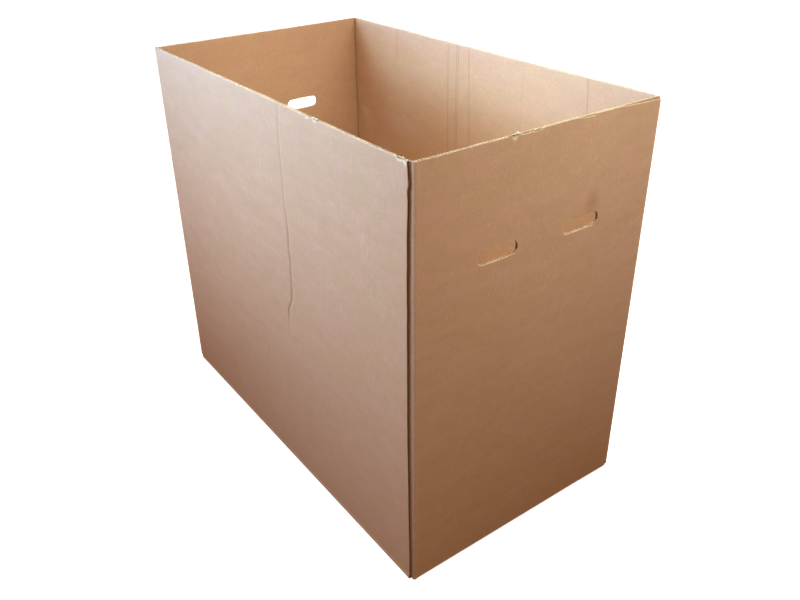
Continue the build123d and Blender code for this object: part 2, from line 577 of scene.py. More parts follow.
@dataclass(frozen=True)
class HandHole:
    """Die-cut hand hole with round ends.

    Attributes:
        length: Whole length.
        height: Whole height.
        spacing: Distance between the middles of a wall's two holes.
        drop: Distance of its middle below the rim.
        margin_u: Width of the frame that is drawn beside it.
        margin_v: Width of the frame that is drawn above and below it.
        side_setback: Depth of the channel where its edge runs with the flutes.
        flute_setback: What is added to that where its edge cuts across them.
    """

    length: float = 110.0
    height: float = 35.0
    spacing: float = 240.0
    drop: float = 241.0
    margin_u: float = 11.0
    margin_v: float = 18.5
    side_setback: float = 1.2
    flute_setback: float = 9.0

    @property
    def straight(self) -> float:
        """Half the length of the straight edges."""
        return (self.length - self.height) / 2

    @property
    def frame_u(self) -> float:
        """Half the length of the frame round it."""
        return self.length / 2 + self.margin_u

    @property
    def frame_v(self) -> float:
        """Half the height of the frame round it."""
        return self.height / 2 + self.margin_v

    def outline(self, ring: Array) -> tuple[Array, Array]:
        """Edge of the hole as seen from a ring of points round it.

        Each point looks at the nearest part of the hole's middle line; the edge lies on that ray,
        half the hole's height from the line.

        Args:
            ring: Points round the hole, from its middle.

        Returns:
            Points of the edge, and the unit rays out of the hole.
        """
        spine = ring * 0
        share = self.straight / (self.straight + self.margin_u)
        spine[:, 0] = np.clip(ring[:, 0] * share, -self.straight, self.straight)
        ray = ring - spine
        ray /= np.linalg.norm(ray, axis=1, keepdims=True)
        return spine + ray * self.height / 2, ray

    def edge_height(self, u: Array) -> Array:
        """Half the hole's height at a distance from its middle: the root of r * r - x * x at the ends."""
        beyond = np.clip(np.abs(u) - self.straight, 0, self.height / 2)
        return np.sqrt(np.maximum((self.height / 2) ** 2 - beyond**2, 0))

    def setback(self, lean: Array) -> Array:
        """Depth of the channel behind the edge, for the share of the ray that runs with the flutes."""
        return self.side_setback + self.flute_setback * np.abs(lean)


@dataclass
class Panel:
    """Piece of board on a grid of places, with the flutes open along its cut edges.

    Attributes:
        u: First coordinate of each place.
        v_outer: Second coordinate of each place on the outer liner.
        v_inner: Second coordinate of each place on the inner liner.
        depths: Depths of the two liners' faces.
        setbacks: Depths of the channel along its edges.
        hole: Shape of its hand holes.
        windows: Places of its hand holes.
        hole_shares: Shares of the way from a hole's frame to its edge, at which a row of points lies.
    """

    u: Array
    v_outer: Array
    v_inner: Array
    depths: Depths
    setbacks: Setbacks
    hole: HandHole = field(default_factory=HandHole)
    windows: list[Window] = field(default_factory=list)
    hole_shares: tuple[float, ...] = (0.4, 0.75, 0.93, 1.0)

    def build(self) -> Shell:
        """Makes the panel: both liners, the channels along its edges and round its holes.

        Returns:
            Its closed surface.
        """
        shell = Shell()
        outer_depth, _ = self.depths(self.u, self.v_outer)
        _, inner_depth = self.depths(self.u, self.v_inner)
        outer = shell.add(self.u, self.v_outer, outer_depth)
        inner = shell.add(self.u, self.v_inner, inner_depth)
        keep = np.ones((self.u.shape[0] - 1, self.u.shape[1] - 1), bool)
        for window in self.windows:
            keep[slice(*window.rows), slice(*window.columns)] = False
        shell.cover(outer, Face.OUTER_LINER, keep)
        shell.cover(inner[:, ::-1], Face.INNER_LINER, keep[:, ::-1])
        self.cut_edge(shell, outer, inner)
        for window in self.windows:
            self.hole_edge(shell, outer, inner, window)
        return shell

    @staticmethod
    def loop(numbers: Array) -> Array:
        """Border of a grid: top row leftwards, left column down, bottom row rightwards, right column up."""
        return np.concatenate([numbers[0, :0:-1], numbers[:-1, 0], numbers[-1, :-1], numbers[:0:-1, -1]])

    def cut_edge(self, shell: Shell, outer: Array, inner: Array) -> None:
        """Adds the edge of the whole panel: each liner's cut, and the channel between them.

        The channel's bottom is the border moved in by the setbacks, shared out evenly between
        opposite edges.

        Args:
            shell: Surface that takes it.
            outer: Point numbers of the outer liner.
            inner: Point numbers of the inner liner.
        """
        rows, columns = self.u.shape
        right = np.broadcast_to(np.linspace(0, 1, columns), (rows, columns))
        low = np.broadcast_to(np.linspace(0, 1, rows)[:, None], (rows, columns))
        move_u = self.loop(self.setbacks.left * (1 - right) - self.setbacks.right * right)
        move_v = self.loop(self.setbacks.bottom * low - self.setbacks.top * (1 - low))
        u, v_outer, v_inner = self.loop(self.u), self.loop(self.v_outer), self.loop(self.v_inner)
        top = self.depths(u, v_outer)[0] + BOARD.outer_liner
        bottom = self.depths(u, v_inner)[1] - BOARD.inner_liner
        strip = [
            self.loop(outer),
            shell.add(u, v_outer, top),
            shell.add(u + move_u, v_outer + move_v, top),
            shell.add(u + move_u, v_inner + move_v, bottom),
            shell.add(u, v_inner, bottom),
            self.loop(inner),
        ]
        numbers = np.stack(strip)
        numbers = np.concatenate([numbers, numbers[:, :1]], axis=1)
        fibre, fluting = Face.TORN_FIBRE.value, Face.FLUTING.value
        shell.cover(numbers, np.array([fibre, fluting, fluting, fluting, fibre])[:, None])

    def hole_edge(self, shell: Shell, outer: Array, inner: Array, window: Window) -> None:
        """Adds one hand hole: both liners between the window's frame and the hole, and the channel.

        Each liner's rows lie at the shares of the way from the frame to the edge. The channel is a
        profile of (depth, setback) carried round the edge.

        Args:
            shell: Surface that takes it.
            outer: Point numbers of the outer liner.
            inner: Point numbers of the inner liner.
            window: Its place.
        """
        frame = tuple(slice(first, last + 1) for first, last in (window.rows, window.columns))
        ring_outer, ring_inner = (self.loop(numbers[frame])[::-1] for numbers in (outer, inner))
        u, v = self.loop(self.u[frame])[::-1], self.loop(self.v_outer[frame])[::-1]
        ring = np.stack([u - window.u, v - window.v], axis=-1)
        edge, ray = self.hole.outline(ring)
        middle = np.array([window.u, window.v])
        places = [middle + ring * (1 - share) + edge * share for share in self.hole_shares]
        set_in = middle + edge + ray * self.hole.setback(ray[:, 1])[:, None]
        rim = middle + edge
        outer_rows = [shell.add(*place.T, self.depths(*place.T)[0]) for place in places]
        inner_rows = [shell.add(*place.T, self.depths(*place.T)[1]) for place in places]
        top, bottom = self.depths(*rim.T)
        top, bottom = top + BOARD.outer_liner, bottom - BOARD.inner_liner
        profile = ((rim, top), (set_in, top), (set_in, bottom), (rim, bottom))
        channel = [shell.add(*place.T, depth) for place, depth in profile]
        numbers = np.stack([ring_outer, *outer_rows, *channel, *inner_rows[::-1], ring_inner])
        numbers = np.concatenate([numbers, numbers[:, :1]], axis=1)
        liner = len(self.hole_shares)
        shows = [Face.OUTER_LINER] * liner + [Face.TORN_FIBRE] + [Face.FLUTING] * 3
        shows += [Face.TORN_FIBRE] + [Face.INNER_LINER] * liner
        shell.cover(numbers, np.array([face.value for face in shows])[:, None])


@dataclass(frozen=True)
class Crease:
    """Sharp bend pressed into one liner of a wall.

    Attributes:
        line: Points of (u, drop below the rim), from the top down.
        reach: Distance from the middle to each side that keeps the grid's lines with it.
        width: Half the width of the valley.
        depth: Depth of the valley.
        outside: Whether it is in the outer liner.
        shallow: Share of the depth that an outer crease has near the rim.
        deepens: Drops between which it gets its whole depth.
        fades: Lengths over which it fades out above and below its line.
    """

    line: tuple[tuple[float, float], ...]
    reach: tuple[float, float]
    width: float
    depth: float
    outside: bool
    shallow: float = 0.45
    deepens: tuple[float, float] = (230.0, 320.0)
    fades: tuple[float, float] = (12.0, 14.0)

    def at(self, drop: Array) -> Array:
        """Place of the valley's middle along the wall at each drop."""
        points = np.array(self.line)
        return np.interp(drop, points[:, 1], points[:, 0])

    def valley(self, u: Array, drop: Array) -> Array:
        """Works out the share of the valley's depth: a V that fades out past the ends of the line.

        Args:
            u: Places along the wall.
            drop: Their drops below the rim.

        Returns:
            Share from 0 to 1 for each place.
        """
        v_shape = np.clip(1 - np.abs(u - self.at(drop)) / self.width, 0, 1)
        first, last = self.line[0][1], self.line[-1][1]
        pressed = self.shallow + (1 - self.shallow) * ramp(drop, *self.deepens) if self.outside else 1.0
        starts = ramp(drop, first - self.fades[0], first)
        return v_shape * pressed * starts * (1 - ramp(drop, last, last + self.fades[1]))


@dataclass
class Walls:
    """The four walls and the glue tab, in one run from the front wall's cut edge.

    Attributes:
        hole: Hand hole of the end walls.
        column_step: Distance between the grid's upright lines.
        blend: Height at the rim and at the foot over which the rows follow the cut.
        setbacks: Depths of the channel along the run's edges.
        bow: Depth of the walls' slow waves.
        knife_drop: Least drop of the knife-cut rim below the ideal one.
        knife_parts: Size and step of the knife's slow wander and of its short tremble.
        rim_tears: Torn stretches of the near end wall's rim: start from the near corner, length, depth.
        tear_profile: Depth of a torn stretch along its length, both as shares.
        edge_tear: Width and depth of the tear at the top of the front wall's cut edge.
        sway: Drops below the rim, and how far the cut edge sways at each.
        nicks: Drops below the rim, and depths of the small nicks in the cut edge.
        scab_places: Spots where the liner's skin is torn off: wall, place, half width, height.
        tuft_places: Tufts on the rim: wall, place, half width, flakes, longest flake, depth.
    """

    hole: HandHole = field(default_factory=HandHole)
    column_step: float = 4.8
    blend: float = 70.0
    setbacks: Setbacks = Setbacks(12, 4, 30, 2)
    bow: float = 1.1
    knife_drop: float = 1.1
    knife_parts: Table = ((0.9, 70.0), (0.5, 9.0))
    rim_tears: Table = ((245.0, 76.0, 4.0), (433.0, 39.0, 5.0), (555.0, 140.0, 7.0))
    tear_profile: Table = (
        (0.0, 0.08, 0.3, 0.46, 0.62, 0.8, 0.96, 1.0),
        (0.0, 0.35, 0.5, 0.8, 0.75, 1.0, 0.9, 0.0),
    )
    edge_tear: tuple[float, float] = (5.0, 45.0)
    sway: Table = (
        (0.0, 8.0, 20.0, 60.0, 160.0, 300.0, 560.0, 800.0, 1031.0),
        (-3.5, -2.8, -1.0, 0.6, 3.0, 4.3, 4.7, 2.5, -1.6),
    )
    nicks: Table = (
        (22.0, 30.0, 48.0, 56.0, 590.0, 600.0, 640.0, 655.0),
        (0.0, 2.4, 1.8, 0.0, 0.0, 1.2, 0.9, 0.0),
    )
    scab_places: tuple[tuple[str, float, float, float], ...] = (
        ("near", 248.0, 9.0, 15.0),
        ("near", 310.0, 5.0, 8.0),
        ("near", 140.0, 4.0, 6.0),
        ("near", 60.0, 5.0, 5.0),
        ("front", 843.0, 8.0, 9.0),
        ("front", 873.0, 11.0, 9.0),
        ("front", 1165.0, 12.0, 9.0),
        ("front", 1183.0, 8.0, 14.0),
        ("front", 520.0, 6.0, 6.0),
    )
    tuft_places: tuple[tuple[str, float, float, int, float, float], ...] = (
        ("front", 843.0, 7.0, 30, 11.0, 1.6),
        ("front", 873.0, 10.0, 44, 13.0, 1.8),
        ("front", 1163.0, 9.0, 30, 12.0, 2.6),
        ("front", 1183.0, 9.0, 30, 8.0, 2.6),
        ("front", 520.0, 5.0, 12, 7.0, 1.6),
        ("front", 205.0, 9.0, 16, 6.0, 1.6),
        ("near", 252.0, 9.0, 44, 14.0, 1.8),
        ("near", 310.0, 5.0, 20, 9.0, 1.6),
        ("near", 140.0, 4.0, 10, 6.0, 1.6),
    )

    def __post_init__(self) -> None:
        """Works out the run's stations, folds, creases and rows."""
        bend = SIZE.tab_bend
        runs = [CUT_X + INNER_X, 2 * INNER_Y, 2 * INNER_X, INNER_Y - TAB_FOLD_Y - bend, SIZE.tab_width - bend]
        self.starts = np.array([sum(runs[:n]) + n * TURN for n in range(5)])
        self.ends = self.starts + runs
        stations = np.stack([self.starts, self.ends], axis=1).ravel()
        corners = [(-INNER_X, -INNER_Y), (-INNER_X, INNER_Y), (INNER_X, INNER_Y)]
        joint = [(INNER_X, TAB_FOLD_Y + bend)]
        joint += [(INNER_X - reach, TAB_FOLD_Y) for reach in (bend, SIZE.tab_width)]
        pivots = [(CUT_X, -INNER_Y)] + [corner for corner in corners for _ in (0, 1)] + joint
        angles = [-90.0 - 90.0 * n for n in range(5) for _ in (0, 1)]
        self.sheet = FoldedSheet(tuple(stations), tuple(pivots), tuple(angles), (0, 1, 2))
        self.folds = self.ends[:4] + TURN / 2
        self.creases = self.make_creases()
        # Rows lie closer at the rim, the hand holes, the dent across the front wall and the foot
        rim = [0, 1.5, 4, 8, 13, 20, 32, 50, 75, 105, 140, 175]
        hole_rows = self.hole.drop + np.linspace(-self.hole.frame_v, self.hole.frame_v, 9)
        dent = [534, 537, 540, 543, 546]
        lower = [310, 350, 390, 430, 470, 500, 520, *dent, 560, 580, 630, 690, 760, 830, 900, 970]
        foot = SIZE.height - FOOT - np.array([25.0, 8.0, 3.0, 1.0, 0.0])
        self.drops = np.concatenate([rim, hole_rows, lower, foot])

    def front(self, from_far_end: float) -> float:
        """Place on the front wall, from its distance to the far end."""
        return CUT_X + SIZE.length / 2 - from_far_end

    def back(self, from_far_end: float) -> float:
        """Place on the back wall, from its distance to the far end."""
        return self.starts[2] + from_far_end - BOARD.thickness

    def near(self, from_near_corner: float | Array) -> float | Array:
        """Place on the near end wall, from its distance to the near corner, and the other way round."""
        return self.starts[3] + SIZE.width - BOARD.thickness - from_near_corner

    def place_on(self, wall: str, distance: float) -> float:
        """Place on the front or the near end wall, from the distance that its own method takes."""
        return self.front(distance) if wall == "front" else self.near(distance)

    def make_creases(self) -> list[Crease]:
        """Makes the upright creases of the front wall's outside and the back wall's inside.

        Returns:
            The creases.
        """
        upright = (
            (717.0, 709.0, 712.0, 711.0, 716.0, 713.0, 717.0, 711.0, 713.0, 701.0, 686.0, 682.0),
            (4.0, 89.0, 170.0, 235.0, 304.0, 350.0, 392.0, 440.0, 492.0, 512.0, 536.0, 570.0),
        )
        line = tuple((self.front(distance), drop) for distance, drop in zip(*upright))
        creases = [Crease(line, (90.0, 90.0), 6.0, 2.5, True)]
        slit = ((self.front(1174.0), 510.0), (self.front(1176.0), 576.0))
        creases.append(Crease(slit, (6.0, 6.0), 1.2, 0.8, True))
        # Place at the rim, place at the lower end, length, reach to each side, depth
        for top, foot, drop, left, right, depth in (
            (239.0, 239.0, 84.0, 60.0, 60.0, 0.8),
            (482.0, 493.0, 420.0, 60.0, 18.0, 0.8),
            (520.0, 523.0, 470.0, 13.0, 3.6, 0.8),
            (529.0, 529.0, 470.0, 3.6, 14.0, 0.8),
            (571.0, 589.0, 400.0, 22.0, 60.0, 0.8),
            (785.0, 785.0, 300.0, 40.0, 40.0, 0.3),
            (997.0, 1005.0, 86.0, 60.0, 60.0, 0.8),
        ):
            line = ((self.back(top), 0.0), (self.back(foot), drop))
            creases.append(Crease(line, (left, right), 2.0, depth, False))
        return creases

    def columns(self) -> Array:
        """Works out the grid's upright lines: even, closer at folds, creases, holes and tears.

        Returns:
            Their places at the rim, in rising order.
        """
        runs = [spread(a, b, self.column_step) for a, b in zip(self.starts, self.ends)]
        turns = [spread(a, a + TURN, TURN / 6)[1:-1] for a in self.ends[:4]]
        places = np.sort(np.concatenate(runs + turns))
        patches = []
        for start, length, _ in self.rim_tears:
            end = min(start + length, SIZE.width - BOARD.thickness - 1)
            patches.append(spread(self.near(end) + 0.5, self.near(start), 2.0))
        offsets = np.array([-1.0, -0.5, -0.25, 0.0, 0.25, 0.5, 1.0])
        for crease in self.creases:
            if crease.reach[1] > 5 or not crease.outside:
                half = min(2 * crease.width, 2 * crease.reach[1]) * 0.98
                patches.append(crease.line[0][0] + offsets * half)
        for u in self.hole_places():
            patches.append(u + np.linspace(-1, 1, 35) * self.hole.frame_u)
        patches.append(spread(0.0, 24.0, 2.0))
        return knit(places, sorted(patches, key=lambda patch: patch[0]), 0.7)

    def hole_places(self) -> list[float]:
        """Works out the hand holes of both end walls, even about the middle of the box's width.

        Returns:
            Places of their middles along the run.
        """
        # The near end wall's run ends early, at the glue tab's fold, so its middle is not the box's
        shift = TAB_FOLD_Y + INNER_Y + SIZE.tab_bend
        far, near = ((self.starts[run] + self.ends[run]) / 2 for run in (1, 3))
        aside = self.hole.spacing / 2
        return [middle + side * aside for middle in (far, near + shift / 2) for side in (-1, 1)]

    def top_drops(self, u: Array) -> tuple[Array, Array]:
        """Works out how far each liner's cut lies below the ideal rim.

        Both follow the knife: a slow wander and a short tremble. The outer one falls further in the
        torn stretches of the near end wall and beside the glued corner, and both follow the tab's taper.

        Args:
            u: Places along the run.

        Returns:
            Drops of the outer and the inner liner.
        """
        knife = wander(u, self.knife_parts, 1, self.knife_drop)
        near = self.near(u)
        # The knife rode 0.8 mm higher over one stretch of the near end wall
        knife = knife - 0.8 * ramp(near, 322, 330) * (1 - ramp(near, 395, 430))
        taper = SIZE.tab_taper * np.clip((u - self.starts[4]) / SIZE.tab_width, 0, 1)
        outer = knife + taper
        for start, length, drop in self.rim_tears:
            fall = np.interp((near - start) / length, *self.tear_profile, left=0, right=0)
            outer = outer + drop * fall * (0.75 + 0.35 * jagged(u, 5, 3)) * (u < self.ends[3])
        width, fall = self.edge_tear
        outer = outer + fall * np.interp(u, [0, 0.4 * width, 0.8 * width, width], [1, 0.8, 0.3, 0])
        return outer, knife + taper

    def depths(self, u: Array, v: Array) -> tuple[Array, Array]:
        """Works out the depth of the outer and the inner liner's face.

        Outer = inset + bow + rim pinch + creases, and inner = thickness + bow - rim pinch - creases.
        The bow is a product of two slow sines, never outwards, that fades towards the folds and foot.

        Args:
            u: Places along the run.
            v: Their heights.

        Returns:
            Depths of the outer and the inner liner.
        """
        drop = SIZE.height - v
        to_fold = to_nearest(u, (0.0, *self.folds))
        # The walls lie still at the folds and the foot, and more quietly at the rim
        calm = ramp(to_fold, 8, 150) * ramp(v, FOOT + 5, FOOT + 160) * (0.35 + 0.65 * ramp(drop, 0, 200))
        bow = self.bow * (0.55 + 0.45 * np.sin(u / 65.0 + 1.3) * np.sin(v / 84.0 + 0.4)) * calm
        bow = bow * (u < self.ends[3])
        pinch = 0.4 * np.exp(-drop / 16)
        outer = BOARD.inset + bow + pinch
        inner = BOARD.thickness + bow - pinch
        for crease in self.creases:
            valley = crease.valley(u, drop) * crease.depth
            if crease.outside:
                outer = outer + valley
            else:
                inner = inner - valley
        # A level dent in the front wall, 540 mm below the rim
        dent = np.clip(1 - np.abs(drop - 540) / 3, 0, 1) * ramp(-u, -self.front(320), -self.front(350))
        outer = outer + 0.5 * dent * (1 - ramp(-u, -self.front(530), -self.front(560)))
        # Each fold is scored on the inside, the glue tab's is crushed, and the cut edge is pressed thin
        score = np.exp(-((to_fold / 2.2) ** 2)) * (u > 20)
        crushed = np.exp(-(((u - self.folds[3]) / 3.5) ** 2))
        return outer + 0.8 * np.exp(-np.maximum(u, 0) / 9), inner - 1.0 * score - 1.4 * crushed

    def grid(self) -> Panel:
        """Makes the grid of the run: rows that follow the cut at the rim, and lines that follow the creases.

        Returns:
            The panel of the four walls and the tab.
        """
        base = self.columns()
        drop = self.drops[:, None] + 0 * base
        u = base + 0 * drop
        # The lines go with each crease, and those at the front wall's cut edge with its wander
        for crease in self.creases:
            start = crease.line[0][0]
            hat = np.interp(base, [start - crease.reach[0], start, start + crease.reach[1]], [0, 1, 0])
            u = u + hat * (crease.at(drop) - start)
        shift = np.interp(drop, *self.sway) + np.interp(drop, *self.nicks) + 0.9 * jagged(drop, 11, 9)
        u = u + shift * np.exp(-base / 12) * (base < 80)
        outer_top, inner_top = self.top_drops(base)
        rise = SIZE.tab_taper * np.clip((base - self.starts[4]) / SIZE.tab_width, 0, 1)
        near_rim = np.clip(1 - drop / self.blend, 0, 1)
        near_foot = np.clip(1 - (SIZE.height - FOOT - drop) / self.blend, 0, 1)
        fall = droop(self.starts[3] + INNER_Y - base) * ramp(base, self.starts[3] - 4, self.starts[3])
        fall = fall * (1 - ramp(base, self.ends[3] + 3, self.starts[4] + 4))
        # The glued corner stands almost on the floor
        corner = ramp(base, self.ends[3] - 5, self.ends[3] - 1)
        corner = corner * (1 - ramp(base, self.starts[4] + 6, self.starts[4] + 10))
        fall = np.maximum(fall, (FOOT - 1.0) * corner)
        v_outer = SIZE.height - drop - outer_top * near_rim + (rise - fall) * near_foot
        v_inner = SIZE.height - drop - inner_top * near_rim + (rise - fall) * near_foot
        from_hole = self.drops - self.hole.drop
        rows = tuple(int(np.argmin(np.abs(from_hole - side * self.hole.frame_v))) for side in (-1, 1))
        windows = []
        for middle in self.hole_places():
            sides = (middle - self.hole.frame_u, middle + self.hole.frame_u)
            edges = tuple(int(np.argmin(np.abs(base - side))) for side in sides)
            windows.append(Window(rows, edges, middle, SIZE.height - self.hole.drop))
        return Panel(u, v_outer, v_inner, self.depths, self.setbacks, self.hole, windows)

    def wear_and_highlight(self, points: Array) -> Array:
        """Works out how much the skin is worn, with a painted highlight on the lit side of the outer creases.

        Share = 0.3 at the outside of a fold, fading over 2 mm, + 0.3 at the rim, fading over 4 mm,
        + a painted highlight on the lit side of each outer crease + the scabs, which are half ellipses below
          the rim.

        Args:
            points: Places on the board.

        Returns:
            Share from 0 to 1 for each place.
        """
        u, v, depth = points.T
        to_fold = to_nearest(u, self.folds)
        drop = SIZE.height - v
        outside = depth < BOARD.middle
        rubbed_and_highlight = 0.3 * np.exp(-np.maximum(to_fold - 2, 0) / 2.0) * outside + 0.3 * np.exp(-drop / 4)
        for crease in self.creases:
            # Painted highlight: the side of each outer crease that faces the light is made paler
            lit = (1 - ramp(u - crease.at(drop), -1.5, 2.5)) * outside * crease.outside
            rubbed_and_highlight = rubbed_and_highlight + 1.0 * lit * crease.valley(u, drop)
        for wall, distance, half, fall in self.scab_places:
            scab = 1.4 - ((u - self.place_on(wall, distance)) / half) ** 2 - (drop / fall) ** 2
            rubbed_and_highlight = rubbed_and_highlight + np.clip(scab, 0, 1) * outside
        return np.clip(rubbed_and_highlight, 0, 1)

    def painted_crease_shade(self, points: Array) -> Array:
        """Works out the painted shade in the creases: the valley's share on the side that it is pressed into,
        only on the side of an outer crease turned from the light, with painted shade in each fold's inside and
        on the glue tab's face in the joint's gap.

        Args:
            points: Places on the board.

        Returns:
            Share from 0 to 1 for each place.
        """
        u, v, depth = points.T
        drop = SIZE.height - v
        mark = np.zeros(len(points))
        for crease in self.creases:
            strength = min(1.0, crease.depth / 0.8)
            # Painted shade: an outer crease is dark only on its side turned from the light
            shaded = ramp(u - crease.at(drop), -2.5, 1.5) if crease.outside else 1.0
            pressed_side = (depth < BOARD.middle) == crease.outside
            mark = np.maximum(mark, strength * shaded * crease.valley(u, drop) * pressed_side)
        # Painted shade along the inside of each fold, and over the glue tab's outer face, which shows in the
        # joint's gap
        score = np.exp(-((to_nearest(u, self.folds) / 1.6) ** 2)) * (depth > 4.5)
        groove = ramp(u, self.folds[3] - 1.5, self.folds[3] + 2) * (depth < BOARD.middle)
        return np.max([mark, 0.9 * score, 0.9 * groove], axis=0)

    def fluting(self) -> Shell:
        """Makes the paper that stands between the liners where the board is cut.

        Returns:
            Its closed strips.
        """
        shell = Shell()
        level = SIZE.height - self.hole.drop
        for row in PAPER_ROWS:
            # Along the rim, a little crushed by the knife, and lower where the outer liner is torn
            u = spread(4.5, self.ends[4] - 1.5, row.step)
            outer_top, inner_top = self.top_drops(u)
            fine = row.middle < BOARD.liner_middle - 0.5
            torn = inner_top + (outer_top - inner_top) * 0.8 if fine else inner_top
            crush = 0.3 + 0.9 * jagged(u, row.pitch * 1.7, row.seed + 3) ** 2
            near, far = SIZE.height - torn - crush, SIZE.height - inner_top - (self.setbacks.top - 1)
            shell.band(u, near, far, row.wave(u), 0.55, self.depths)
            # Up the cut edge at the glued corner
            u = spread(6.5 if row.height < 1 else 9.5, self.setbacks.left + 1.0, 0.7)
            near = SIZE.height - self.top_drops(u)[1] - (self.setbacks.top + 1)
            far = np.full(u.size, FOOT + 3.0)
            shell.band(u, near, far, row.wave(u, 5), BOARD.paper, self.depths)
            # Above and below each hand hole
            for number, place in enumerate(self.hole_places()):
                x = spread(-self.hole.length / 2 + 1.2, self.hole.length / 2 - 1.2, row.step)
                reach = self.hole.edge_height(x)
                stand = self.hole.setback(reach / (self.hole.height / 2)) - 0.3
                depth = row.wave(x + place, 7 + number)
                for side in (-1, 1):
                    near, far = level + side * (reach + 0.35), level + side * (reach + stand)
                    shell.band(x + place, near, far, depth, 0.5, self.depths)
        return shell

    def frayed_edges(self) -> Shell:
        """Makes the rolls of torn fibres on the liners' cuts, along the rim and round the hand holes.

        Along the rim the roll swells with the flutes: 0.15 + 0.9 * sine squared * random height
        + 0.5 * another random height. Round the holes it is 0.15 + 0.45 * random height.

        Returns:
            Their closed rolls.
        """
        shell = Shell()
        corners = ((-2.4, -0.8, 0.35, 0.5, -0.5, -2.2), (0.2, -0.35, -0.2, 0.4, 0.9, 0.5))
        section = np.array(corners).T
        u = spread(3.0, self.ends[4] - 0.5, 1.3)
        outer_top, inner_top = self.top_drops(u)
        outer_depth, inner_depth = self.depths(u, np.full(u.size, SIZE.height))
        for top, depth, pitch, sign, seed in (
            (outer_top, outer_depth + 0.05, BOARD.fine_pitch, -1, 61),
            (inner_top, inner_depth - 0.05, BOARD.coarse_pitch, 1, 71),
        ):
            beads = np.sin(np.pi * u / pitch + jagged(u, 60, seed)) ** 2
            swell = 0.15 + 0.9 * beads * jagged(u, 17, seed + 1) + 0.5 * jagged(u, 4, seed + 2)
            turned = section * np.array([1.0, -sign])
            shell.bead(u, SIZE.height - top, depth, turned, swell, False)
        angle = np.linspace(0, 2 * np.pi, 120, endpoint=False)
        half_u, half_v = self.hole.straight + 30, self.hole.frame_v
        ring = np.stack([np.sin(angle) * half_u, np.cos(angle) * half_v], axis=-1)
        edge, _ = self.hole.outline(ring)
        for number, place in enumerate(self.hole_places()):
            around = np.cumsum(np.linalg.norm(np.roll(edge, -1, axis=0) - edge, axis=1))
            line = edge + np.array([place, SIZE.height - self.hole.drop])
            outer_depth, inner_depth = self.depths(*line.T)
            for depth, sign, seed in ((outer_depth + 0.1, -1, 81), (inner_depth - 0.1, 1, 91)):
                swell = 0.15 + 0.45 * jagged(around, 7, seed + number)
                shell.bead(*line.T, depth, section * np.array([-1.0, -sign]), swell, True)
        return shell

    def outer_top(self, u: Array) -> Array:
        """Height of the outer liner's cut."""
        return SIZE.height - self.top_drops(u)[0]

    def inner_top(self, u: Array) -> Array:
        """Height of the inner liner's cut."""
        return SIZE.height - self.top_drops(u)[1]

    def tufts(self) -> Shell:
        """Makes the tufts of torn liner that show on the rim, and the short fray all along it.

        Returns:
            Their closed flakes.
        """
        shell = Shell()
        ceiling = SIZE.height - 0.3
        for wall, distance, half, count, length, depth in self.tuft_places:
            place = self.place_on(wall, distance)
            tuft = Fray(place - half, place + half, count, length, depth, int(place))
            tuft.add_to(shell, self.outer_top, ceiling)
        last = self.ends[3]
        Fray(2.0, last, 700, 4.0, 1.3, 5).add_to(shell, self.outer_top, ceiling)
        Fray(2.0, last, 500, 3.6, BOARD.thickness - 0.9, 6).add_to(shell, self.inner_top, ceiling)
        return shell

    def build(self, materials: Materials) -> None:
        """Makes the walls' pieces.

        Args:
            materials: One material for each value of Face.
        """
        for name, shell, marks in (
            ("walls_and_glue_tab", self.grid().build(), Marks(self.wear_and_highlight, self.painted_crease_shade)),
            ("wall_fluting", self.fluting(), PLAIN),
            ("frayed_wall_edges", self.frayed_edges(), PLAIN),
            ("torn_rim_tufts", self.tufts(), PLAIN),
        ):
            make_piece(name, shell, self.sheet.place, materials, marks)


